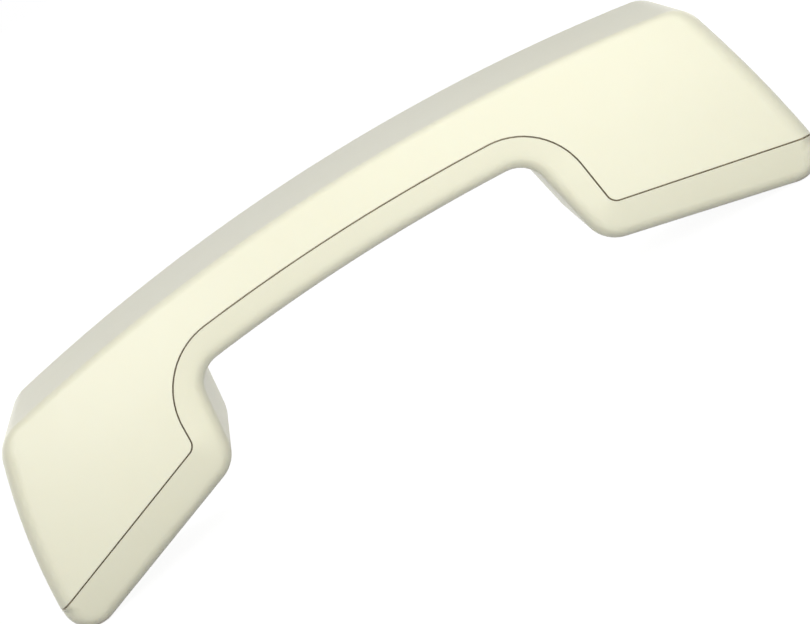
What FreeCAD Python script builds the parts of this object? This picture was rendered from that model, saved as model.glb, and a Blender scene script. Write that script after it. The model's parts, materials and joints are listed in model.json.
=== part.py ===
import FreeCAD, Part
import math
import os
from functools import lru_cache
from FreeCAD import Placement, Rotation, Vector

# Telephone handset lying on its two caps: +X to the ear end, +Y across, +Z up to its back
# Sizes are millimetres and degrees

# Back and handle, arcs about one centre below the handset
back_height = 61.9
back_radius = 500.0
handle_depth = 19.4
parting_depth = 11.0
sweep = 15.0

# Cross-section: half width of the back, how it widens down the side, and the level of its foot
back_half_width = 22.5
side_flare = 3.9
side_height = 38.0
side_crown = 0.55
section_foot = 5.9
wall = 2.4

# Ends of the handset: top, middle and foot of each bowed end face
mouth_end = ((-98.3, 52.0), (-105.3, 28.6), (-108.6, 6.0))
ear_end = ((96.7, 54.0), (103.9, 28.6), (108.6, 4.0))
mouth_top_radius = 10.0
ear_top_radius = 9.0
end_foot_radius = 7.0

# Underside: a point on each line and the way it runs, from the mouth end to the ear end
mouth_face = ((-79.5, 7.13), 18.9)
mouth_wall = ((-50.7, 27.0), 81.5)
ear_wall = ((48.6, 27.0), -79.0)
ear_face = ((79.5, 5.6), -15.2)
inner_corner_radius = 9.0
under_bend_radius = 7.5

# Parting line between the two covers, its bends as shares of the drop from the handle to each cap
mouth_parting = ((-79.5, 18.6), 19.1)
mouth_parting_wall = ((-58.2, 31.0), 86.0)
ear_parting_wall = ((56.4, 31.0), -83.0)
ear_parting = ((79.5, 16.2), -14.1)
parting_corner_radius = 3.0
mouth_bend_share = 0.588
ear_bend_share = 0.519
reveal = 0.4
front_lean = 0.29
lean_depth = 12.0
lean_rise = 1.0
cover_step = 0.05
lean_stretch = 1.04
tongue_height = 2.0
tongue_root = 1.0
tongue_clearance = 0.1
tongue_bevel = 4.0

# Edge rounding
ridge_radius = 2.0
end_edge_radius = 4.6
front_edge_radius = 4.6

# Grip bosses and cover screws, at each side of the middle of the handle
cover_screw_x = 33.0
cover_screw_radius = 1.5
cover_screw_length = 11.0
cover_head_radius = 2.9
cover_head_height = 1.9
cover_head_recess = 1.7
front_boss_radius = 4.4
boss_drop = 13.9
rear_boss_radius = 3.4
pilot_margin = 0.6
clearance = 0.2

# Screw proportions, as shares of a head's height or radius and of a shank's radius
head_bevel = 0.4
cross_depth = 0.55
cross_length = 1.3
cross_width = 0.3
tip_share = 0.5

# Counterweight in the grip
weight_length = 48.0
weight_width = 30.0
weight_thickness = 4.5
weight_drop = 5.4
weight_screw_x = 18.0
weight_screw_length = 7.0
pad_length = 24.0
pad_width = 22.0
pad_gap = 0.06
rib_length = 30.0
rib_thickness = 1.2
rib_reach = 2.5

# Snap hooks at both ends of the front cover, in recesses of the rear cover
hook_level = 16.5
hook_spacing = 13.5
hook_width = 6.0
hook_thickness = 1.6
hook_stem = 8.5
hook_root = 10.5
hook_lip = 0.8
hook_tip = 1.8

# Sound ports in the two cap faces
dish_radius = 15.5
dish_floor = 12.0
dish_depth = 1.2
port_radius = 0.9
ear_axis_x = 77.5
ear_rings = ((0.0, 1), (4.8, 5), (9.6, 10))
mouth_axis_x = -78.0
mouth_rings = ((0.0, 1), (3.3, 6))

# Receiver unit, measured into the handset from the ear face
unit_radius = 16.5
gasket_width = 2.9
gasket_height = 1.0
cloth_thickness = 0.3
grille_plate = 0.8
grille_slot_radius = 1.1
grille_slot_ring = 7.5
grille_slot_count = 6
diaphragm_radius = 14.4
diaphragm_thickness = 0.25
diaphragm_play = 0.35
diaphragm_level = 5.4
rim_width = 1.5
roll_width = 3.5
roll_height = 0.7
dome_height = 0.5
coil_inner = 5.9
coil_outer = 6.7
coil_height = 3.4
pole_radius = 5.6
pole_thickness = 1.2
magnet_radius = 5.2
magnet_thickness = 2.8
yoke_radius = 8.6
yoke_bore = 7.1
yoke_floor = 1.5
pole_drop = 1.0
frame_wall = 1.2
frame_height = 6.3
frame_ledge = 1.0
frame_back = 1.8
vent_radius = 1.1
vent_count = 4
clamp_width = 2.2
clamp_thickness = 1.2
clamp_post = (14.5, 17.0)
clamp_post_radius = 2.6
clamp_screw_radius = 1.25
clamp_screw_length = 7.0
clamp_head_radius = 2.3
clamp_head_height = 1.5
terminal_size = (4.6, 2.8, 0.6)
terminal_place = (-7.5, 8.8)
binding_radius = 1.0
binding_height = 1.2
binding_inset = 1.2
loop_inner = 17.0
loop_outer = 19.2
loop_height = 3.0

# Microphone and its board, measured into the handset from the mouth face
collar_inner = 7.1
collar_wall = 1.3
collar_height = 5.0
boot_height = 8.0
boot_lip = 1.0
capsule_radius = 4.85
capsule_height = 6.4
capsule_bevel = 0.4
felt_thickness = 0.6
board_size = (22.0, 26.0, 1.2)
board_shift = 4.0
board_level = 11.2
board_post = 10.6
board_post_radius = 2.1
board_screw_radius = 0.9
board_screw_length = 6.0
board_head_radius = 1.7
board_head_height = 1.2
chip_size = (5.0, 4.0, 1.5)
chip_shift = -1.0
capacitor_radius = 2.0
capacitor_height = 5.0
capacitor_place = (7.0, 4.0)

# Cord socket in the mouth end
jack_height = 21.0
socket_width = 7.9
socket_height = 6.4
socket_depth = 10.0
latch_width = 3.4
latch_room = 0.7
jack_wall = 1.2
jack_flange = 0.9
jack_length = 11.8
cradle_wall = 1.4
cradle_length = 9.0
contact_size = 0.5
contact_drop = 0.7
contact_inset = 2.0
contact_pitch = 1.27
contact_count = 4

# Leads inside the handset
lead_radius = 0.55
lead_pitch = 3.0
lead_rise = 2.0
lead_drop = 4.0
lead_edge = 1.5
bend_share = 0.45
grip_route = ((-66.0, 18.6, 11.0), (0.0, 13.6, 12.5), (64.0, 19.0, 11.0))

reach = 150.0
half_reach = 60.0
samples = 5
centre_height = back_height - back_radius
weight_top = back_height - weight_drop
front_boss_top = back_height - boss_drop
parting_level = back_height - parting_depth
across = Vector(0, 1, 0)


def at(x, z, y=0.0):
    return Vector(x, y, z)


class Line:
    """A straight rail of the side view, through a mark and running at an angle."""

    def __init__(self, mark, angle):
        slope = math.radians(angle)
        self.mark = at(*mark)
        self.angle = angle
        self.way = at(math.cos(slope), math.sin(slope))
        self.left = at(-math.sin(slope), math.cos(slope))
        self.curve = Part.Line(self.mark, self.mark + self.way)

    def shifted(self, step):
        moved = self.mark + self.left * step
        return Line((moved.x, moved.z), self.angle)

    def way_at(self, spot):
        return self.way

    def foot(self, spot):
        return self.mark + self.way * (spot - self.mark).dot(self.way)

    def edge(self, start, end):
        return Part.LineSegment(start, end).toShape()


class Ring:
    """A round rail of the side view; turn is 1 anticlockwise and -1 clockwise."""

    def __init__(self, centre, radius, turn, mark):
        self.centre = centre
        self.radius = radius
        self.turn = turn
        self.mark = mark
        self.curve = Part.Circle(centre, across, radius)

    def shifted(self, step):
        return Ring(self.centre, self.radius - self.turn * step, self.turn, self.mark)

    def way_at(self, spot):
        spoke = (spot - self.centre).normalize()
        return at(-spoke.z, spoke.x) * self.turn

    def foot(self, spot):
        return self.centre + (spot - self.centre).normalize() * self.radius

    def edge(self, start, end):
        return Part.Arc(start, self.foot((start + end) / 2), end).toShape()


def bowed(marks, turn):
    """The round rail through three marks."""
    curve = Part.Arc(*[at(*mark) for mark in marks]).toShape().Curve
    return Ring(curve.Center, curve.Radius, turn, at(*marks[1]))


def concentric(depth, turn):
    """A round rail at a depth below the middle of the back."""
    return Ring(at(0, centre_height), back_radius - depth, turn, at(0, back_height - depth))


def crossing(first, second):
    """Where two rails meet, nearest to both of their marks."""
    spots = [at(spot.X, spot.Z) for spot in first.curve.intersect(second.curve)]
    return min(spots, key=lambda spot: spot.distanceToPoint(first.mark) + spot.distanceToPoint(second.mark))


def corner(first, second, radius, step):
    """Start, middle and end of the rounding between two rails, both shifted to their left."""
    spot = crossing(first, second)
    before = first.way_at(spot)
    after = second.way_at(spot)
    side = 1 if before.z * after.x < before.x * after.z else -1
    radius = radius - side * step
    inner = first.shifted(step)
    outer = second.shifted(step)
    centre = crossing(inner.shifted(side * radius), outer.shifted(side * radius))
    start = inner.foot(centre)
    end = outer.foot(centre)
    middle = centre + ((start + end) / 2 - centre).normalize() * radius
    return start, middle, end


def path(rails, radii, step=0.0):
    """Edges along rails with rounded corners, shifted to their left; closed if there is a radius for each."""
    count = len(rails)
    corners = [corner(rails[index], rails[(index + 1) % count], radius, step)
               for index, radius in enumerate(radii)]
    moved = [rail.shifted(step) for rail in rails]
    if len(radii) == count:
        starts = [corners[index - 1][2] for index in range(count)]
        ends = [corners[index][0] for index in range(count)]
    else:
        first = moved[0].foot(at(-reach, 0))
        last = moved[-1].foot(at(reach, 0))
        starts = [first] + [mark[2] for mark in corners]
        ends = [mark[0] for mark in corners] + [last]
    edges = []
    for index in range(count):
        edges.append(moved[index].edge(starts[index], ends[index]))
        if index < len(corners):
            edges.append(Part.Arc(*corners[index]).toShape())
    return edges


profile_rails = [Line(*mouth_face), Line(*mouth_wall), concentric(handle_depth, -1), Line(*ear_wall),
                 Line(*ear_face), bowed(ear_end, 1), concentric(0.0, 1), bowed(mouth_end, 1)]
profile_radii = [inner_corner_radius, under_bend_radius, under_bend_radius, inner_corner_radius,
                 end_foot_radius, ear_top_radius, mouth_top_radius, end_foot_radius]
parting_rails = [Line(*mouth_parting), Line(*mouth_parting_wall), concentric(parting_depth, -1),
                 Line(*ear_parting_wall), Line(*ear_parting)]
parting_radii = [parting_corner_radius, mouth_bend_share * (parting_level - mouth_parting[0][1]),
                 ear_bend_share * (parting_level - ear_parting[0][1]), parting_corner_radius]


def spread(edges):
    """A closed side view stretched right across the handset."""
    face = Part.Face(Part.Wire(edges))
    face.translate(-across * half_reach)
    return face.extrude(across * 2 * half_reach)


@lru_cache(maxsize=None)
def above(step):
    """Everything above the parting line raised by a step."""
    line = path(parting_rails, parting_radii, step)
    first = line[0].Vertexes[0].Point
    last = line[-1].Vertexes[1].Point
    tops = [at(last.x, reach), at(first.x, reach)]
    box = [Part.LineSegment(last, tops[0]).toShape(), Part.LineSegment(tops[0], tops[1]).toShape(),
           Part.LineSegment(tops[1], first).toShape()]
    return spread(line + box)


def half_width(x, z):
    """Half width of the outside at a point of the side view."""
    depth = back_radius - math.hypot(x, z - centre_height)
    share = depth / side_height
    return back_half_width + side_flare * share + 4 * side_crown * share * (1 - share)


def section(inset):
    """Cross-section of the handset at its middle, as a face."""
    levels = [back_height, (back_height + section_foot) / 2, section_foot]
    right = [at(0, level, half_width(0, level)) for level in levels]
    left = [at(0, level, -half_width(0, level)) for level in levels]
    edges = [Part.Arc(*right).toShape(), Part.LineSegment(right[2], left[2]).toShape(),
             Part.Arc(*reversed(left)).toShape(), Part.LineSegment(left[0], right[0]).toShape()]
    face = Part.Face(Part.Wire(edges))
    if inset:
        face = face.makeOffset2D(-inset)
    return face


@lru_cache(maxsize=None)
def form(inset):
    """The whole handset without the lean of its front cover, drawn in by an inset."""
    face = section(inset)
    face.rotate(at(0, centre_height), across, -sweep)
    turned = face.revolve(at(0, centre_height), across, 2 * sweep)
    return turned.common(spread(path(profile_rails, profile_radii, inset)))


def lean_line(step, inset, side):
    """A line along the front cover's leaning side, at a step from the parting line."""
    marks = []
    spots = []
    length = 0.0
    spans = zip(path(parting_rails, parting_radii, step), path(parting_rails, parting_radii, -lean_depth / 2))
    for edge, middle in spans:
        for index in range(samples):
            share = (1 - math.cos(math.pi * index / samples)) / 2
            spot = edge.valueAt(edge.FirstParameter + share * (edge.LastParameter - edge.FirstParameter))
            width = half_width(spot.x, spot.z) - cover_step + step * front_lean - inset
            marks.append(length + share * middle.Length)
            spots.append(spot + across * side * width)
        length += middle.Length
    curve = Part.BSplineCurve()
    curve.interpolate(Points=spots, Parameters=marks)
    return curve.toShape()


def leaning_cut(inset, side):
    """What lies outside one leaning side of the front cover, drawn in by an inset."""
    face = Part.makeRuledSurface(lean_line(lean_rise, inset, side), lean_line(-lean_depth, inset, side))
    return face.extrude(across * side * half_reach)


def tray(inset):
    """The front cover's solid form below the parting line, drawn in by an inset."""
    sides = [leaning_cut(inset * lean_stretch, side) for side in (1, -1)]
    pieces = form(inset).cut(above(0.0)).cut(sides).Solids
    return max(pieces, key=lambda piece: piece.Volume)


def bevelled_plan(bevel):
    """Everything inside the handset's plan at the parting line, its four corners cut off by a bevel."""
    marks = []
    for turn, spot in ((1, crossing(parting_rails[0], profile_rails[7])),
                       (-1, crossing(parting_rails[-1], profile_rails[5]))):
        width = half_width(spot.x, spot.z)
        slant = turn * bevel
        marks += [Vector(spot.x + slant, turn * width, 0), Vector(spot.x, turn * (width - bevel), 0),
                  Vector(spot.x, turn * (bevel - width), 0), Vector(spot.x + slant, -turn * width, 0)]
    plan = Part.Face(Part.makePolygon(marks + [marks[0]]))
    return plan.extrude(Vector(0, 0, reach))


def tongue():
    """The front cover's lip inside the parting line, bevelled where the ends are rounded."""
    lip = form(wall / 2).cut(form(wall)).common(above(-tongue_root)).cut(above(tongue_height))
    return lip.common(bevelled_plan(tongue_bevel))


def rabbet():
    """Room for the front cover's lip inside the rear cover."""
    room = form(wall / 2 - tongue_clearance).cut(above(tongue_height))
    return room.common(bevelled_plan(tongue_bevel - 2 * tongue_clearance))


def edge_near(solid, spot):
    """The edge of a solid whose middle lies nearest to a spot."""
    return min(solid.Edges, key=lambda edge: edge.valueAt(
        (edge.FirstParameter + edge.LastParameter) / 2).distanceToPoint(spot))


def rounded_rear():
    """Outside of the rear cover, its ridge crisp along the back and softer down the ends."""
    solid = form(0.0).common(above(reveal))
    halves = []
    for end, rails, radius in ((-1, (profile_rails[6], profile_rails[7]), mouth_top_radius),
                               (1, (profile_rails[5], profile_rails[6]), ear_top_radius)):
        half = solid.common(Part.makeBox(reach, 2 * half_reach, reach,
                                         at(-reach if end < 0 else 0, 0, -half_reach)))
        bend = corner(*rails, radius, 0.0)[1]
        for side in (1, -1):
            near = bend + across * side * half_width(bend.x, bend.z)
            radii = (ridge_radius, end_edge_radius) if side * end > 0 else (end_edge_radius, ridge_radius)
            half = half.makeFillet(*radii, [edge_near(half, near)])
        halves.append(half)
    return halves[0].fuse(halves[1]).removeSplitter()


def rounded_front():
    """Outside of the front cover with its lower edges rounded."""
    solid = tray(0.0)
    for side in (1, -1):
        level = back_height - handle_depth
        near = at(0, level, side * (half_width(0, level) - (handle_depth - parting_depth) * front_lean))
        solid = solid.makeFillet(front_edge_radius, [edge_near(solid, near)])
    return solid


def turned(marks):
    """A solid turned about local Z from its radius and height marks."""
    points = [Vector(radius, 0, level) for radius, level in marks]
    face = Part.Face(Part.makePolygon(points + [points[0]]))
    return face.revolve(Vector(0, 0, 0), Vector(0, 0, 1), 360)


def disc(radius, low, high, x=0.0, y=0.0):
    return Part.makeCylinder(radius, high - low, Vector(x, y, low))


def tube(outer, inner, low, high):
    return disc(outer, low, high).cut(disc(inner, low, high))


def block(length, width, low, high, x=0.0, y=0.0):
    return Part.makeBox(length, width, high - low, Vector(x - length / 2, y - width / 2, low))


def placed(shape, seat):
    moved = shape.copy()
    moved.Placement = seat.multiply(moved.Placement)
    return moved


def height_on(line, x):
    """Height of a line of the side view at a given length."""
    mark, angle = line
    return mark[1] + (x - mark[0]) * math.tan(math.radians(angle))


def back_level(x, depth):
    """Height of the arc at a depth below the back, at a given length."""
    return centre_height + math.sqrt((back_radius - depth) ** 2 - x ** 2)


def end_seat(rail, level):
    """Origin on an end face at a height, local Z outward, local X up the mouth end and down the ear end."""
    swing = math.copysign(math.sqrt(rail.radius ** 2 - (level - rail.centre.z) ** 2), rail.mark.x)
    spot = at(rail.centre.x + swing, level)
    out = (spot - rail.centre).normalize()
    return Placement(spot, Rotation(across, math.degrees(math.atan2(out.x, out.z))))


ear_seat = Placement(at(ear_axis_x, height_on(ear_face, ear_axis_x)), Rotation(across, -ear_face[1]))
mouth_seat = Placement(at(mouth_axis_x, height_on(mouth_face, mouth_axis_x)),
                       Rotation(across, -mouth_face[1]))
jack_seat = end_seat(profile_rails[7], jack_height)


def screw(radius, length, head_radius, head_height):
    """Cross-head screw, its shank up local Z from the seat of its head."""
    bevel = head_height * head_bevel
    shape = turned([(0, -head_height), (head_radius - bevel, -head_height),
                    (head_radius, bevel - head_height), (head_radius, 0), (radius, 0),
                    (radius, length - radius), (radius * tip_share, length), (0, length)])
    slot = block(head_radius * cross_length, head_radius * cross_width,
                 -head_height, -head_height * (1 - cross_depth))
    cross = placed(slot, Placement(Vector(), Rotation(Vector(0, 0, 1), 90)))
    return shape.cut([slot, cross])


def ring_of(count, radius):
    """Evenly spaced places round local Z."""
    turns = [2 * math.pi * index / count for index in range(count)]
    return [(radius * math.cos(turn), radius * math.sin(turn)) for turn in turns]


def ports(rings):
    """Shallow dish and sound ports of a cap face."""
    cuts = [Part.makeCone(dish_radius, dish_floor, dish_depth)]
    for radius, count in rings:
        cuts += [disc(port_radius, -wall, 2 * wall, x, y) for x, y in ring_of(count, radius)]
    return cuts


def both_ends(x):
    return (-x, x)


def clamp_posts():
    """Places of the two screw posts beside the receiver."""
    return (clamp_post, (-clamp_post[0], -clamp_post[1]))


def hook_seats():
    """Middle of each snap hook's catch, on the end faces, with local X up the face."""
    half_turn = Placement(Vector(), Rotation(Vector(0, 0, 1), 180))
    ends = [end_seat(profile_rails[7], hook_level),
            end_seat(profile_rails[5], hook_level).multiply(half_turn)]
    return [end.multiply(Placement(Vector(0, y, 0), Rotation()))
            for end in ends for y in both_ends(hook_spacing)]


def hook():
    """Snap hook inside an end wall, its root in the wall below the parting line."""
    outer = -wall - clearance
    inner = outer - hook_thickness
    marks = [(-hook_root, -wall / 2), (-hook_root, inner), (hook_tip, inner), (hook_tip, outer),
             (0, hook_lip - wall - clearance / 2), (0, outer), (-hook_stem, outer), (-hook_stem, -wall / 2)]
    points = [Vector(x, -hook_width / 2, z) for x, z in marks]
    return Part.Face(Part.makePolygon(points + [points[0]])).extrude(Vector(0, hook_width, 0))


def hook_recess():
    """Room for a hook's lip in the end wall of the rear cover."""
    return block(hook_tip + clearance, hook_width + 2 * clearance,
                 -wall - hook_lip, hook_lip - wall, hook_tip / 2)


def rear_cover():
    hollow = form(wall)
    cover = rounded_rear().cut([hollow, rabbet()])
    bosses = []
    pilots = []
    for x in both_ends(cover_screw_x):
        tip = cover_screw_seat(x) + cover_screw_length
        bosses.append(disc(rear_boss_radius, front_boss_top, back_level(x, wall / 2), x))
        pilots.append(disc(cover_screw_radius, front_boss_top, tip + pilot_margin, x))
    for x in both_ends(weight_screw_x):
        tip = weight_top - weight_thickness + weight_screw_length
        bosses.append(disc(rear_boss_radius, weight_top, back_level(x, wall / 2), x))
        pilots.append(disc(cover_screw_radius, weight_top, tip + pilot_margin, x))
    for y in both_ends(weight_width / 2 + clearance + rib_thickness / 2):
        bosses.append(block(rib_length, rib_thickness, weight_top - rib_reach, back_level(0, wall / 2), 0, y))
    hole = block(socket_height + 2 * jack_wall + clearance, socket_width + 2 * jack_wall + clearance,
                 -wall * 2, wall)
    size = flange_size()
    cradle = block(size[0] + 2 * cradle_wall, size[1] + 2 * cradle_wall, -cradle_length, -wall / 2)
    room = block(size[0] + clearance, size[1] + clearance, -cradle_length, -wall)
    cover = cover.fuse(bosses + [placed(cradle, jack_seat)])
    recesses = [placed(hook_recess(), seat) for seat in hook_seats()]
    return cover.cut(pilots + recesses + [placed(hole, jack_seat), placed(room, jack_seat)])


def front_cover():
    shell = rounded_front().cut(tray(wall))
    adds = [tongue()] + [placed(hook(), seat) for seat in hook_seats()]
    cuts = [placed(shape, ear_seat) for shape in ports(ear_rings)]
    cuts += [placed(shape, mouth_seat) for shape in ports(mouth_rings)]
    for x in both_ends(cover_screw_x):
        under = back_level(x, handle_depth)
        seat = cover_screw_seat(x)
        adds.append(disc(front_boss_radius, under + wall / 2, front_boss_top, x))
        cuts.append(disc(cover_head_radius + clearance, under - wall, seat, x))
        cuts.append(disc(cover_screw_radius + clearance, seat, front_boss_top, x))
    for x, y in clamp_posts():
        adds.append(placed(disc(clamp_post_radius, wall / 2, unit_top, x, y), ear_seat))
        cuts.append(placed(disc(clamp_screw_radius, unit_top - clamp_screw_length, unit_top, x, y), ear_seat))
    collar = tube(collar_inner + collar_wall, collar_inner, wall / 2, wall + collar_height)
    adds.append(placed(collar, mouth_seat))
    for y in both_ends(board_post):
        adds.append(placed(disc(board_post_radius, wall / 2, board_level, board_shift, y), mouth_seat))
        cuts.append(placed(disc(board_screw_radius, board_level - board_screw_length, board_level,
                                board_shift, y), mouth_seat))
    return shell.fuse(adds).cut(cuts)


def cover_screw_seat(x):
    """Height of the seat of a cover screw's head."""
    return back_level(x, handle_depth) + cover_head_recess + cover_head_height


def flange_size():
    """Height and width of the wide part of the cord socket."""
    rim = 2 * (jack_wall + jack_flange)
    return socket_height + rim, socket_width + rim


def cover_screws():
    solids = []
    for x in both_ends(cover_screw_x):
        shape = screw(cover_screw_radius, cover_screw_length, cover_head_radius, cover_head_height)
        solids.append(placed(shape, Placement(at(x, cover_screw_seat(x)), Rotation())))
    return Part.makeCompound(solids)


def counterweight():
    shape = block(weight_length, weight_width, weight_top - weight_thickness, weight_top)
    upright = [edge for edge in shape.Edges if edge.BoundBox.ZLength > weight_thickness / 2]
    shape = shape.makeFillet(2 * cover_screw_radius, upright)
    holes = [disc(cover_screw_radius + clearance, 0.0, weight_top, x) for x in both_ends(weight_screw_x)]
    return shape.cut(holes)


def counterweight_screws():
    solids = []
    for x in both_ends(weight_screw_x):
        shape = screw(cover_screw_radius, weight_screw_length, cover_head_radius, cover_head_height)
        solids.append(placed(shape, Placement(at(x, weight_top - weight_thickness), Rotation())))
    return Part.makeCompound(solids)


def counterweight_pad():
    return block(pad_length, pad_width, weight_top, back_level(pad_length / 2, wall) - pad_gap)


gasket_top = wall + gasket_height
grille_top = diaphragm_level + diaphragm_thickness + diaphragm_play
unit_top = grille_top + frame_height
pole_level = diaphragm_level + diaphragm_thickness + coil_height - pole_thickness - pole_drop


def receiver_gasket():
    return tube(unit_radius, unit_radius - gasket_width, wall, gasket_top)


def receiver_cloth():
    return disc(unit_radius - gasket_width - clearance, wall, wall + cloth_thickness)


def receiver_grille():
    """Front of the receiver unit, with slots and the lower stop of the diaphragm's rim."""
    stop = diaphragm_level - diaphragm_play
    marks = [(0, gasket_top), (unit_radius, gasket_top), (unit_radius, grille_top),
             (diaphragm_radius + clearance, grille_top), (diaphragm_radius + clearance, stop),
             (diaphragm_radius - frame_wall, stop),
             (diaphragm_radius - frame_wall, gasket_top + grille_plate), (0, gasket_top + grille_plate)]
    holes = [disc(grille_slot_radius, gasket_top, gasket_top + grille_plate, x, y)
             for x, y in [(0.0, 0.0)] + ring_of(grille_slot_count, grille_slot_ring)]
    return turned(marks).cut(holes)


def receiver_diaphragm():
    """Thin pressed disc with a cone in the middle and a fold near the rim."""
    fold = diaphragm_radius - rim_width - roll_width / 2
    under = [(0, diaphragm_level - dome_height), (coil_inner, diaphragm_level),
             (fold, diaphragm_level - roll_height), (fold + roll_width / 2, diaphragm_level),
             (diaphragm_radius, diaphragm_level)]
    over = [(radius, level + diaphragm_thickness) for radius, level in reversed(under)]
    return turned(under + over)


def voice_coil():
    base = diaphragm_level + diaphragm_thickness
    return tube(coil_outer, coil_inner, base, base + coil_height)


def receiver_pole_plate():
    return disc(pole_radius, pole_level, pole_level + pole_thickness)


def receiver_magnet():
    low = pole_level + pole_thickness
    return disc(magnet_radius, low, low + magnet_thickness)


def receiver_yoke():
    floor = pole_level + pole_thickness + magnet_thickness
    marks = [(yoke_bore, pole_level), (yoke_radius, pole_level), (yoke_radius, floor + yoke_floor),
             (0, floor + yoke_floor), (0, floor), (yoke_bore, floor)]
    return turned(marks)


def receiver_frame():
    """Basket that carries the magnet and closes the back of the receiver unit."""
    inner = unit_radius - frame_wall
    ledge = diaphragm_radius - frame_wall
    marks = [(ledge, grille_top), (unit_radius, grille_top), (unit_radius, unit_top), (yoke_radius, unit_top),
             (yoke_radius, unit_top - frame_back), (inner, unit_top - frame_back),
             (inner, grille_top + frame_ledge), (ledge, grille_top + frame_ledge)]
    vents = [disc(vent_radius, unit_top - frame_back, unit_top, x, y)
             for x, y in ring_of(vent_count, (yoke_radius + inner) / 2)]
    return turned(marks).cut(vents)


def receiver_clamp():
    """Ring that holds the receiver unit down, with an ear over each post."""
    top = unit_top + clamp_thickness
    shape = tube(unit_radius, unit_radius - clamp_width, unit_top, top)
    holes = []
    ears = []
    for x, y in clamp_posts():
        angle = math.degrees(math.atan2(y, x))
        span = math.hypot(x, y) - unit_radius + clamp_width / 2
        bar = block(span, 2 * clamp_post_radius, unit_top, top, unit_radius - clamp_width / 2 + span / 2)
        ears.append(placed(bar, Placement(Vector(), Rotation(Vector(0, 0, 1), angle))))
        ears.append(disc(clamp_post_radius, unit_top, top, x, y))
        holes.append(disc(clamp_screw_radius + clearance, unit_top, top, x, y))
    return shape.fuse(ears).cut(holes).removeSplitter()


def clamp_screws():
    solids = []
    for x, y in clamp_posts():
        shape = screw(clamp_screw_radius, clamp_screw_length, clamp_head_radius, clamp_head_height)
        down = Placement(Vector(x, y, unit_top + clamp_thickness), Rotation(Vector(1, 0, 0), 180))
        solids.append(placed(shape, down))
    return Part.makeCompound(solids)


def receiver_terminals():
    """Two brass plates with binding screws on the back of the receiver unit."""
    solids = []
    length, width, thickness = terminal_size
    for side in (1, -1):
        x = terminal_place[0]
        y = side * terminal_place[1]
        top = unit_top + thickness
        plate = block(length, width, unit_top, top, x, y)
        head = disc(binding_radius, top, top + binding_height, x + length / 2 - binding_inset, y)
        solids.append(plate.fuse(head))
    return Part.makeCompound(solids)


def hearing_aid_coil():
    return tube(loop_outer, loop_inner, wall, wall + loop_height)


def microphone_felt():
    low = wall
    return disc(capsule_radius, low, low + felt_thickness)


def microphone_capsule():
    low = wall + felt_thickness
    top = low + capsule_height
    edge = capsule_radius - capsule_bevel
    return turned([(0, low), (edge, low), (capsule_radius, low + capsule_bevel),
                   (capsule_radius, top - capsule_bevel), (edge, top), (0, top)])


def microphone_boot():
    low = wall
    top = wall + boot_height
    marks = [(capsule_radius, low), (collar_inner, low), (collar_inner, top),
             (capsule_radius - boot_lip, top),
             (capsule_radius - boot_lip, wall + felt_thickness + capsule_height),
             (capsule_radius, wall + felt_thickness + capsule_height)]
    return turned(marks)


def microphone_board():
    length, width, thickness = board_size
    shape = block(length, width, board_level, board_level + thickness, board_shift)
    holes = [disc(board_screw_radius + clearance, board_level, board_level + thickness, board_shift, y)
             for y in both_ends(board_post)]
    return shape.cut(holes)


def board_screws():
    solids = []
    for y in both_ends(board_post):
        shape = screw(board_screw_radius, board_screw_length, board_head_radius, board_head_height)
        top = board_level + board_size[2]
        solids.append(placed(shape, Placement(Vector(board_shift, y, top), Rotation(Vector(1, 0, 0), 180))))
    return Part.makeCompound(solids)


def board_components():
    """Two capacitors and an amplifier chip on the back of the board."""
    top = board_level + board_size[2]
    chip = block(chip_size[0], chip_size[1], top, top + chip_size[2], board_shift + chip_shift)
    cans = [disc(capacitor_radius, top, top + capacitor_height, board_shift + capacitor_place[0], y)
            for y in both_ends(capacitor_place[1])]
    return Part.makeCompound([chip] + cans)


def jack_housing():
    """Square socket for the cord's plug, with a groove in its floor for the plug's latch."""
    size = flange_size()
    nose = block(socket_height + 2 * jack_wall, socket_width + 2 * jack_wall, -jack_length, -clearance)
    body = block(size[0], size[1], -jack_length, -wall - clearance)
    room = block(socket_height, socket_width, -socket_depth, 0.0)
    latch = block(latch_room, latch_width, -socket_depth, 0.0, -(socket_height + latch_room) / 2)
    return nose.fuse(body).removeSplitter().cut([room, latch])


def jack_contacts():
    """Sprung wires along the roof of the socket, bent at its mouth."""
    solids = []
    roof = socket_height / 2
    for index in range(contact_count):
        y = (index - (contact_count - 1) / 2) * contact_pitch
        low = roof - contact_drop
        marks = [(roof - contact_size, -contact_inset), (roof, -contact_inset),
                 (roof, -contact_inset - contact_size), (low, -socket_depth),
                 (low - contact_size, -socket_depth)]
        points = [Vector(x, y - contact_size / 2, z) for x, z in marks]
        face = Part.Face(Part.makePolygon(points + [points[0]]))
        solids.append(face.extrude(Vector(0, contact_size, 0)))
    return Part.makeCompound(solids)


def lead(points):
    """A round wire along straight runs joined by tangent arcs."""
    edges = []
    start = points[0]
    for before, spot, after in zip(points, points[1:], points[2:]):
        into = (spot - before).normalize()
        onto = (after - spot).normalize()
        half_turn = into.getAngle(onto) / 2
        setback = bend_share * min(spot.distanceToPoint(before), after.distanceToPoint(spot))
        first = spot - into * setback
        last = spot + onto * setback
        radius = setback / math.tan(half_turn)
        centre = spot + (onto - into).normalize() * (radius / math.cos(half_turn))
        middle = centre + (spot - centre).normalize() * radius
        edges += [Part.LineSegment(start, first).toShape(), Part.Arc(first, middle, last).toShape()]
        start = last
    edges.append(Part.LineSegment(start, points[-1]).toShape())
    ring = Part.Wire(Part.Circle(points[0], points[1] - points[0], lead_radius).toShape())
    return Part.Wire(edges).makePipe(Part.Face(ring))


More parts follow.
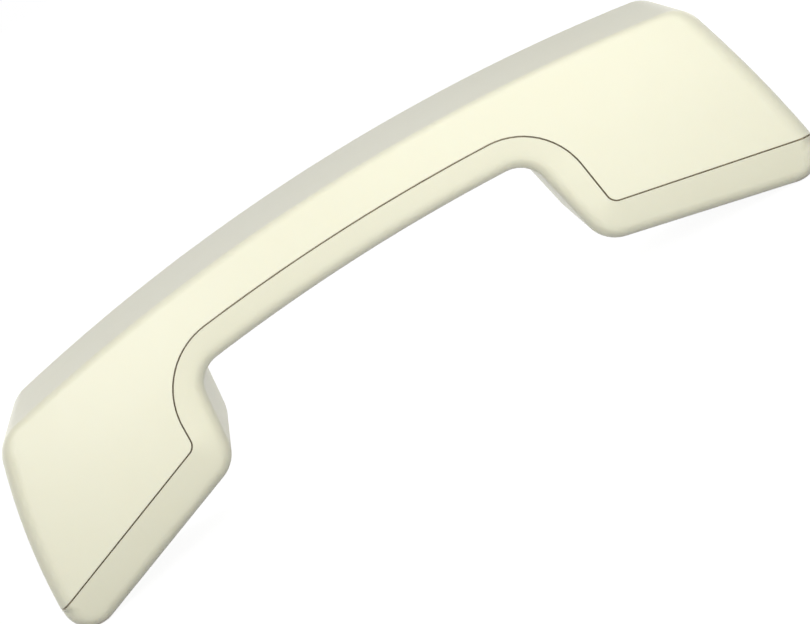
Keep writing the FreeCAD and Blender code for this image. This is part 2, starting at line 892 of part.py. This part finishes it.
def microphone_lead(side):
    """From the cord socket to the edge of the microphone board."""
    y = side * lead_pitch / 2
    pad = board_level + board_size[2]
    edge = board_shift - board_size[0] / 2 + lead_edge
    return lead([jack_seat.multVec(Vector(lead_rise, y, -jack_length)),
                 jack_seat.multVec(Vector(lead_rise, y, -jack_length - lead_drop)),
                 mouth_seat.multVec(Vector(edge, 2 * y, pad + lead_drop)),
                 mouth_seat.multVec(Vector(edge, 2 * y, pad))])


def receiver_lead(side):
    """From the cord socket through the handle to the receiver's terminals."""
    pad = unit_top + terminal_size[2]
    x = terminal_place[0] - terminal_size[0] / 2 + binding_inset
    y = side * terminal_place[1]
    start = side * 1.5 * lead_pitch
    return lead([jack_seat.multVec(Vector(lead_rise, start, -jack_length)),
                 jack_seat.multVec(Vector(lead_rise, start, -jack_length - 2 * lead_drop)),
                 *[at(x, back_height - depth, side * y) for x, depth, y in grip_route],
                 ear_seat.multVec(Vector(x, y, pad + 2 * lead_drop)),
                 ear_seat.multVec(Vector(x, y, pad))])


parts = {"rear_cover": rear_cover(), "front_cover": front_cover(), "cover_screws": cover_screws(),
         "counterweight": counterweight(), "counterweight_screws": counterweight_screws(),
         "counterweight_pad": counterweight_pad()}
for make in (receiver_gasket, receiver_cloth, receiver_grille, receiver_diaphragm, voice_coil,
             receiver_pole_plate, receiver_magnet, receiver_yoke, receiver_frame, receiver_clamp,
             clamp_screws, receiver_terminals, hearing_aid_coil):
    parts[make.__name__] = placed(make(), ear_seat)
for make in (microphone_felt, microphone_capsule, microphone_boot, microphone_board, board_screws,
             board_components):
    parts[make.__name__] = placed(make(), mouth_seat)
for make in (jack_housing, jack_contacts):
    parts[make.__name__] = placed(make(), jack_seat)
parts["microphone_lead_black"] = microphone_lead(1)
parts["microphone_lead_red"] = microphone_lead(-1)
parts["receiver_lead_white"] = receiver_lead(1)
parts["receiver_lead_green"] = receiver_lead(-1)

os.makedirs("parts", exist_ok=True)
for name, shape in parts.items():
    shape.exportStep("parts/" + name + ".step")
    print(name, shape.isValid(), len(shape.Solids), round(shape.Volume, 1))
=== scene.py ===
import json
import math

import bmesh
import bpy
from mathutils import Matrix, Vector

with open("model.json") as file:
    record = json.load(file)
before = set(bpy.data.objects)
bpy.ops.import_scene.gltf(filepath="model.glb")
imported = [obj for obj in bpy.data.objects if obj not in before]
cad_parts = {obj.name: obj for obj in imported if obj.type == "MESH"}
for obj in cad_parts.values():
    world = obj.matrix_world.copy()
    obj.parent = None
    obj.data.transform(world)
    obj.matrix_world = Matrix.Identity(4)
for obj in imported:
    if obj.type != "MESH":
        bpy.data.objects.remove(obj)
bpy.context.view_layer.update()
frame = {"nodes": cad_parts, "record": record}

# Lengths are metres in the handset's own frame: +X to the ear end, +Z up to its back
nodes = frame["nodes"]

# Camera, as fitted to the photograph's frame of 810 by 624 pixels
image_width = 810
focal_pixels = 2386.25
camera_target = Vector((0.0011, 0.0, 0.02085))
camera_distance = 0.600
camera_azimuth = 1.0
camera_elevation = 12.0
camera_roll = 32.6
sensor_width = 36.0

# Softboxes: place, the spot it points at, side, power in watts, and whether reflections show it
softboxes = {
    "cap_softbox": ((-0.13, -0.30, 0.12), (-0.085, 0.0, 0.05), 0.08, 0.23, False),
    "cap_shine_softbox": ((-0.13, -0.30, 0.10), (-0.085, 0.0, 0.05), 0.08, 0.14, True),
    "handle_softbox": ((-0.02, -0.28, 0.18), (0.0, 0.0, 0.05), 0.10, 0.19, False),
    "ear_softbox": ((0.16, -0.28, 0.08), (0.08, 0.0, 0.02), 0.12, 0.36, False),
    "crown_softbox": ((0.075, -0.14, 0.14), (0.075, 0.0, 0.04), 0.08, 0.04, False),
    "rear_softbox": ((-0.05, 0.38, 0.50), (0.0, 0.0, 0.03), 0.40, 0.4, True),
    "rear_left_softbox": ((-0.40, 0.35, 0.25), (0.0, 0.0, 0.03), 0.40, 1.1, True),
    "rear_right_softbox": ((0.40, 0.35, 0.25), (0.0, 0.0, 0.03), 0.40, 0.8, True),
    "low_left_softbox": ((-0.11, 0.36, 0.03), (-0.05, 0.0, 0.03), 0.05, 0.12, False),
    "low_right_softbox": ((0.11, 0.36, 0.03), (0.05, 0.0, 0.03), 0.05, 0.12, False),
    "mouth_end_softbox": ((-0.42, 0.05, 0.03), (-0.10, 0.0, 0.03), 0.05, 0.10, False),
    "ear_end_softbox": ((0.42, 0.05, 0.03), (0.10, 0.0, 0.03), 0.05, 0.12, False),
}

# Surroundings: light from all round, and a floor whose glow grows between two distances from the handset
ambient = 0.13
floor_half = 6.0
floor_cells = 8
floor_grey = (0.20, 0.20, 0.20)
floor_glow = (0.92, 1.0)
glow_reach = (0.20, 0.60)

# Smoothing of the moulded surfaces
weld_distance = 2e-6
crease_angle = 28.0

# Ivory of the two covers, the painted shade that darkens its crevices and how far that shade reaches, and the
# distances from the middle where the grip's polish fades
ivory_dark = (0.845, 0.832, 0.657)
ivory_light = (0.872, 0.859, 0.685)
ivory_aged = (0.822, 0.796, 0.600)
painted_crevice_shade = (0.34, 0.26, 0.15)
painted_shade_reach = 0.0012
grip_reach = (0.035, 0.075)

# Period of a wave texture at scale 1
wave_period = math.pi / 10


def direction(azimuth, elevation):
    """Unit vector towards a place at an azimuth and elevation, where azimuth 0 is in front, at -Y."""
    turn = math.radians(azimuth)
    rise = math.radians(elevation)
    return Vector((math.sin(turn) * math.cos(rise), -math.cos(turn) * math.cos(rise), math.sin(rise)))


def make_camera():
    """The photograph's camera, turned about its own axis by the photograph's roll."""
    data = bpy.data.cameras.new("camera")
    data.sensor_width = sensor_width
    data.lens = focal_pixels / image_width * sensor_width
    camera = bpy.data.objects.new("camera", data)
    bpy.context.scene.collection.objects.link(camera)
    back = direction(camera_azimuth, camera_elevation)
    right = (-back).cross(Vector((0, 0, 1))).normalized()
    up = right.cross(-back)
    roll = math.radians(camera_roll)
    image_right = right * math.cos(roll) - up * math.sin(roll)
    image_up = right * math.sin(roll) + up * math.cos(roll)
    turn = Matrix((image_right, image_up, back)).transposed().to_4x4()
    camera.matrix_world = Matrix.Translation(camera_target + back * camera_distance) @ turn
    bpy.context.scene.camera = camera


def background_rays(tree):
    """1 for the rays that see the background plainly: from the camera, a reflection or glass."""
    rays = tree.nodes.new("ShaderNodeLightPath").outputs
    seen = rays["Is Camera Ray"]
    for name in ("Is Glossy Ray", "Is Transmission Ray"):
        either = tree.nodes.new("ShaderNodeMath")
        either.operation = "MAXIMUM"
        tree.links.new(seen, either.inputs[0])
        tree.links.new(rays[name], either.inputs[1])
        seen = either.outputs["Value"]
    return seen


def make_lights():
    """Square softboxes that the camera doesn't see."""
    for name, (place, aim, side, power, shine) in softboxes.items():
        data = bpy.data.lights.new(name, "AREA")
        data.shape = "SQUARE"
        data.size = side
        data.energy = power
        lamp = bpy.data.objects.new(name, data)
        bpy.context.scene.collection.objects.link(lamp)
        away = Vector(place) - Vector(aim)
        lamp.rotation_euler = away.to_track_quat("Z", "Y").to_euler()
        lamp.location = place
        lamp.visible_camera = False
        lamp.visible_glossy = shine


class Shader:
    """A procedural material: a Principled shader with textures in the handset's own coordinates."""

    def __init__(self, name):
        self.material = bpy.data.materials.new(name)
        self.material.use_nodes = True
        self.tree = self.material.node_tree
        self.shader = self.tree.nodes["Principled BSDF"]
        self.place = self.add("ShaderNodeTexCoord").outputs["Object"]

    def add(self, kind, **settings):
        """A new node with its settings."""
        node = self.tree.nodes.new(kind)
        for key, value in settings.items():
            setattr(node, key, value)
        return node

    def link(self, source, target):
        self.tree.links.new(source, target)

    def mapped(self, **inputs):
        """The coordinates turned by a Rotation or stretched by a Scale."""
        node = self.add("ShaderNodeMapping")
        self.link(self.place, node.inputs["Vector"])
        for key, value in inputs.items():
            node.inputs[key].default_value = value
        return node.outputs["Vector"]

    def noise(self, size, detail=2.0, rough=0.5, place=None):
        """Noise whose features are about size metres across."""
        node = self.add("ShaderNodeTexNoise")
        self.link(place or self.place, node.inputs["Vector"])
        node.inputs["Scale"].default_value = 1.0 / size
        node.inputs["Detail"].default_value = detail
        node.inputs["Roughness"].default_value = rough
        return node.outputs["Fac"]

    def cells(self, size):
        """Distance from the nearest cell centre of a foam."""
        node = self.add("ShaderNodeTexVoronoi")
        self.link(self.place, node.inputs["Vector"])
        node.inputs["Scale"].default_value = 1.0 / size
        return node.outputs["Distance"]

    def bands(self, size, axis, place=None):
        """Waves of one size along an axis."""
        node = self.add("ShaderNodeTexWave", wave_type="BANDS", bands_direction=axis)
        self.link(place or self.place, node.inputs["Vector"])
        node.inputs["Scale"].default_value = wave_period / size
        return node.outputs["Fac"]

    def spread(self, value, low, high, start=0.0, end=1.0):
        """A value mapped from start..end onto low..high."""
        node = self.add("ShaderNodeMapRange")
        self.link(value, node.inputs["Value"])
        node.inputs["From Min"].default_value = start
        node.inputs["From Max"].default_value = end
        node.inputs["To Min"].default_value = low
        node.inputs["To Max"].default_value = high
        return node.outputs["Result"]

    def math(self, operation, *values):
        """One or two values combined by an operation."""
        node = self.add("ShaderNodeMath", operation=operation)
        for value, socket in zip(values, node.inputs):
            self.link(value, socket)
        return node.outputs["Value"]

    def mix(self, share, first, second):
        """A colour between two, each a link or a colour."""
        node = self.add("ShaderNodeMix", data_type="RGBA")
        self.link(share, node.inputs["Factor"])
        for key, value in (("A", first), ("B", second)):
            socket = next(item for item in node.inputs if item.name == key and item.type == "RGBA")
            if isinstance(value, tuple):
                socket.default_value = (*value, 1.0)
            else:
                self.link(value, socket)
        return next(item for item in node.outputs if item.type == "RGBA")

    def colour(self, value):
        self.link(value, self.shader.inputs["Base Color"])

    def roughness(self, value):
        self.link(value, self.shader.inputs["Roughness"])

    def set(self, **values):
        """Values that are the same all over, on the shader's own sockets."""
        for key, value in values.items():
            self.shader.inputs[key.replace("_", " ")].default_value = value

    def bump(self, height, depth):
        """Bumps of a depth in metres, chained onto any made before."""
        node = self.add("ShaderNodeBump")
        node.inputs["Distance"].default_value = depth
        self.link(height, node.inputs["Height"])
        before = self.shader.inputs["Normal"].links
        if before:
            self.link(before[0].from_socket, node.inputs["Normal"])
        self.link(node.outputs["Normal"], self.shader.inputs["Normal"])


def ivory_plastic():
    """Warm ivory moulding: a faint cloudiness, a fine satin grain, a grip polished by hands, and painted
    shade that darkens its crevices and gaps.
    """
    look = Shader("ivory_plastic")
    fresh = look.mix(look.noise(size=0.045, detail=3.0), ivory_dark, ivory_light)
    aged = look.noise(size=0.012, detail=4.0, rough=0.6)
    tone = look.mix(look.spread(aged, low=0.0, high=0.35), fresh, ivory_aged)
    # Painted shade: ambient occlusion darkens the colour towards a brown in crevices and in the parting gap
    shade_occlusion = look.add("ShaderNodeAmbientOcclusion", samples=8)
    shade_occlusion.inputs["Distance"].default_value = painted_shade_reach
    look.colour(look.mix(look.spread(shade_occlusion.outputs["AO"], low=0.9, high=0.0), tone, painted_crevice_shade))
    middle = look.add("ShaderNodeSeparateXYZ")
    look.link(look.place, middle.inputs["Vector"])
    reach = look.math("ABSOLUTE", middle.outputs["X"])
    polish = look.spread(reach, -0.05, 0.0, *grip_reach)
    grain = look.spread(look.noise(size=0.0011, detail=3.0), low=0.32, high=0.42)
    look.roughness(look.math("ADD", grain, polish))
    look.bump(look.noise(size=0.0032, detail=1.0), depth=0.000012)
    look.bump(look.noise(size=0.00032, detail=2.0, rough=0.6), depth=0.000010)
    look.set(IOR=1.50, Subsurface_Weight=0.08, Subsurface_Scale=0.0015, Subsurface_Radius=(1.0, 0.8, 0.5))
    return look.material


def moulded(name, dark, light, rough):
    """Plain moulded plastic in one colour, a little cloudy, with a fine grain."""
    look = Shader(name)
    look.colour(look.mix(look.noise(size=0.006, detail=3.0), dark, light))
    look.roughness(look.spread(look.noise(size=0.0008, detail=3.0), low=rough - 0.07, high=rough + 0.07))
    look.bump(look.noise(size=0.0003, detail=2.0), depth=0.000012)
    return look.material


def rubber(name, dark, light):
    """Soft matt rubber with a dusty bloom."""
    look = Shader(name)
    bloom = look.spread(look.noise(size=0.004, detail=5.0), low=0.0, high=0.8)
    look.colour(look.mix(bloom, dark, light))
    look.roughness(look.spread(look.noise(size=0.001), low=0.72, high=0.90))
    look.bump(look.noise(size=0.0002, detail=3.0), depth=0.00002)
    return look.material


def foam(name, dark, light):
    """Open-celled foam."""
    look = Shader(name)
    cell = look.cells(size=0.0009)
    look.colour(look.mix(cell, dark, light))
    look.roughness(look.spread(look.noise(size=0.002), low=0.88, high=0.98))
    look.bump(cell, depth=0.00025)
    return look.material


def brushed(name, dark, light, rough, way):
    """Metal with fine scratches, drawn out along the axes on which the scale called way is smaller."""
    look = Shader(name)
    scratch = look.noise(size=0.0004, detail=4.0, rough=0.65, place=look.mapped(Scale=way))
    look.colour(look.mix(scratch, dark, light))
    look.roughness(look.spread(scratch, low=rough - 0.09, high=rough + 0.12))
    look.bump(scratch, depth=0.000006)
    look.set(Metallic=1.0)
    return look.material


def rolled(name, dark, light):
    """Hot-rolled steel bar with a mottled scale."""
    look = Shader(name)
    scale = look.noise(size=0.003, detail=6.0, rough=0.7)
    look.colour(look.mix(scale, dark, light))
    look.roughness(look.spread(scale, low=0.42, high=0.68))
    look.bump(look.noise(size=0.0008, detail=4.0), depth=0.00003)
    look.set(Metallic=0.9)
    return look.material


def winding(name, dark, light, pitch):
    """Enamelled wire wound in turns stacked along the receiver's axis, which leans towards X."""
    look = Shader(name)
    joints = frame["record"]["behaviour"]["joints"]
    axis = next(row["axis"] for row in joints if row["name"] == "diaphragm_travel")
    slant = math.atan2(axis[0], axis[2])
    turns = look.bands(pitch, "Z", place=look.mapped(Rotation=(0.0, -slant, 0.0)))
    look.colour(look.mix(turns, dark, light))
    look.roughness(look.spread(look.noise(size=0.002), low=0.24, high=0.36))
    look.bump(turns, depth=0.00004)
    look.set(Metallic=0.85)
    return look.material


def woven(name, dark, light, pitch):
    """Acoustic cloth: threads one way over threads the other way."""
    look = Shader(name)
    weave = look.math("MULTIPLY", look.bands(pitch, "X"), look.bands(pitch, "Y"))
    look.colour(look.mix(weave, dark, light))
    look.roughness(look.spread(look.noise(size=0.001), low=0.82, high=0.95))
    look.bump(weave, depth=0.00006)
    look.set(Sheen_Weight=0.25)
    return look.material


def felt(name, dark, light):
    """Pressed felt with a fibrous nap."""
    look = Shader(name)
    fibre = look.noise(size=0.0005, detail=8.0, rough=0.75)
    look.colour(look.mix(fibre, dark, light))
    look.roughness(look.spread(fibre, low=0.9, high=1.0))
    look.bump(fibre, depth=0.0001)
    look.set(Sheen_Weight=0.4)
    return look.material


def laminate(name, dark, light, pitch):
    """Solder mask over a glass weave."""
    look = Shader(name)
    weave = look.math("ADD", look.bands(pitch, "X"), look.bands(pitch, "Y"))
    look.colour(look.mix(look.spread(weave, low=0.0, high=0.25, end=2.0), dark, light))
    look.roughness(look.spread(look.noise(size=0.003), low=0.22, high=0.34))
    look.bump(weave, depth=0.000008)
    look.set(Coat_Weight=0.4)
    return look.material


def film(name, dark, light):
    """Pressed amber film with a soft sheen."""
    look = Shader(name)
    look.colour(look.mix(look.noise(size=0.004, detail=3.0), dark, light))
    look.roughness(look.spread(look.noise(size=0.0015), low=0.26, high=0.40))
    look.bump(look.noise(size=0.0006), depth=0.00001)
    return look.material


def insulation(name, dark, light):
    """Smooth insulation of a thin lead, with a trace of dust."""
    look = Shader(name)
    look.colour(look.mix(look.noise(size=0.005, detail=4.0), dark, light))
    look.roughness(look.spread(look.noise(size=0.002, detail=3.0), low=0.30, high=0.48))
    look.bump(look.noise(size=0.0009), depth=0.00001)
    return look.material


def make_materials():
    """One material for each of the record's slots, from its name and its darker and lighter colour."""
    return {
        "ivory_plastic": ivory_plastic(),
        "screw_steel": brushed("screw_steel", (0.40, 0.40, 0.42), (0.70, 0.70, 0.72), 0.34, (1, 1, 6)),
        "weight_steel": rolled("weight_steel", (0.09, 0.085, 0.08), (0.30, 0.28, 0.26)),
        "foam": foam("foam", (0.030, 0.030, 0.032), (0.115, 0.115, 0.120)),
        "gasket_rubber": rubber("gasket_rubber", (0.020, 0.020, 0.020), (0.075, 0.072, 0.068)),
        "cloth": woven("cloth", (0.020, 0.020, 0.020), (0.130, 0.125, 0.115), pitch=0.0004),
        "unit_plastic": moulded("unit_plastic", (0.030, 0.030, 0.034), (0.060, 0.060, 0.066), rough=0.48),
        "diaphragm_film": film("diaphragm_film", (0.50, 0.37, 0.15), (0.64, 0.50, 0.24)),
        "copper_wire": winding("copper_wire", (0.36, 0.13, 0.05), (0.78, 0.38, 0.18), pitch=0.0003),
        "magnet_steel": brushed("magnet_steel", (0.52, 0.52, 0.53), (0.78, 0.78, 0.79), 0.26, (1, 1, 0.2)),
        "brass_plate": brushed("brass_plate", (0.56, 0.40, 0.16), (0.80, 0.62, 0.30), 0.30, (0.15, 1, 1)),
        "capsule_can": brushed("capsule_can", (0.62, 0.62, 0.64), (0.84, 0.84, 0.86), 0.28, (1, 1, 0.2)),
        "felt": felt("felt", (0.02, 0.02, 0.02), (0.11, 0.11, 0.11)),
        "board_laminate": laminate("board_laminate", (0.02, 0.17, 0.07), (0.05, 0.26, 0.12), pitch=0.0005),
        "component_body": moulded("component_body", (0.022, 0.022, 0.026), (0.050, 0.050, 0.056), rough=0.40),
        "socket_plastic": moulded("socket_plastic", (0.024, 0.024, 0.026), (0.048, 0.047, 0.046), rough=0.44),
        "gold_contact": brushed("gold_contact", (0.70, 0.46, 0.14), (0.92, 0.70, 0.32), 0.20, (0.1, 1, 1)),
        "black_lead": insulation("black_lead", (0.018, 0.018, 0.018), (0.050, 0.050, 0.050)),
        "red_lead": insulation("red_lead", (0.38, 0.025, 0.018), (0.55, 0.050, 0.035)),
        "white_lead": insulation("white_lead", (0.68, 0.68, 0.65), (0.82, 0.82, 0.80)),
        "green_lead": insulation("green_lead", (0.030, 0.24, 0.070), (0.060, 0.38, 0.120)),
    }


def smoothing_group():
    """Joins the faces of a solid and shades them smooth, except at edges sharper than the crease angle."""
    group = bpy.data.node_groups.new("joined_and_smoothed", "GeometryNodeTree")
    group.interface.new_socket("Geometry", in_out="INPUT", socket_type="NodeSocketGeometry")
    group.interface.new_socket("Geometry", in_out="OUTPUT", socket_type="NodeSocketGeometry")
    add = group.nodes.new
    start = add("NodeGroupInput")
    plain = add("GeometryNodeRemoveAttribute")
    plain.inputs["Name"].default_value = "custom_normal"
    weld = add("GeometryNodeMergeByDistance")
    weld.inputs["Distance"].default_value = weld_distance
    faces = add("GeometryNodeSetShadeSmooth")
    faces.domain = "FACE"
    edges = add("GeometryNodeSetShadeSmooth")
    edges.domain = "EDGE"
    edges.inputs["Shade Smooth"].default_value = False
    angle = add("GeometryNodeInputMeshEdgeAngle")
    sharp = add("FunctionNodeCompare")
    sharp.operation = "GREATER_THAN"
    sharp.inputs["B"].default_value = math.radians(crease_angle)
    end = add("NodeGroupOutput")
    for source, target in (
        (start.outputs["Geometry"], plain.inputs["Geometry"]),
        (plain.outputs["Geometry"], weld.inputs["Geometry"]),
        (weld.outputs["Geometry"], faces.inputs["Geometry"]),
        (faces.outputs["Geometry"], edges.inputs["Geometry"]),
        (angle.outputs["Unsigned Angle"], sharp.inputs["A"]),
        (sharp.outputs["Result"], edges.inputs["Selection"]),
        (edges.outputs["Geometry"], end.inputs["Geometry"]),
    ):
        group.links.new(source, target)
    return group


def dress_nodes(materials):
    """Gives every node its material and smooth shading."""
    group = smoothing_group()
    for row in frame["record"]["subparts"]:
        node = nodes[row["node"]]
        node.data.materials.clear()
        node.data.materials.append(materials[row["material_slot"]])
        modifier = node.modifiers.new("smooth", "NODES")
        modifier.node_group = group
        weighted = node.modifiers.new("weighted_normals", "WEIGHTED_NORMAL")
        weighted.keep_sharp = True


def floor_material():
    """Matt grey with a glow that only the camera, reflections and glass see, so that it looks white."""
    look = Shader("floor")
    look.tree.nodes.remove(look.shader)
    matt = look.add("ShaderNodeBsdfDiffuse")
    matt.inputs["Color"].default_value = (*floor_grey, 1.0)
    glow = look.add("ShaderNodeEmission")
    away = look.add("ShaderNodeVectorMath", operation="LENGTH")
    look.link(look.place, away.inputs[0])
    level = look.spread(away.outputs["Value"], *floor_glow, *glow_reach)
    look.link(look.math("MULTIPLY", background_rays(look.tree), level), glow.inputs["Strength"])
    both = look.add("ShaderNodeAddShader")
    look.link(matt.outputs["BSDF"], both.inputs[0])
    look.link(glow.outputs["Emission"], both.inputs[1])
    look.link(both.outputs["Shader"], look.tree.nodes["Material Output"].inputs["Surface"])
    return look.material


def make_floor():
    """A pale floor that takes the handset's shadow."""
    mesh = bpy.data.meshes.new("floor")
    model = bmesh.new()
    bmesh.ops.create_grid(model, x_segments=floor_cells, y_segments=floor_cells, size=floor_half)
    model.to_mesh(mesh)
    model.free()
    floor = bpy.data.objects.new("floor", mesh)
    bpy.context.scene.collection.objects.link(floor)
    mesh.materials.append(floor_material())


def make_world():
    """Surroundings that light the handset dimly, and are plain white to the camera and in reflections."""
    world = bpy.data.worlds.new("surroundings")
    bpy.context.scene.world = world
    world.use_nodes = True
    tree = world.node_tree
    back = tree.nodes["Background"]
    back.inputs["Color"].default_value = (1.0, 1.0, 1.0, 1.0)
    level = tree.nodes.new("ShaderNodeMapRange")
    level.inputs["To Min"].default_value = ambient
    level.inputs["To Max"].default_value = 1.0
    tree.links.new(background_rays(tree), level.inputs["Value"])
    tree.links.new(level.outputs["Result"], back.inputs["Strength"])


make_camera()
make_lights()
make_world()
make_floor()
dress_nodes(make_materials())
bpy.context.scene.view_settings.view_transform = "Standard"

bpy.context.view_layer.update()
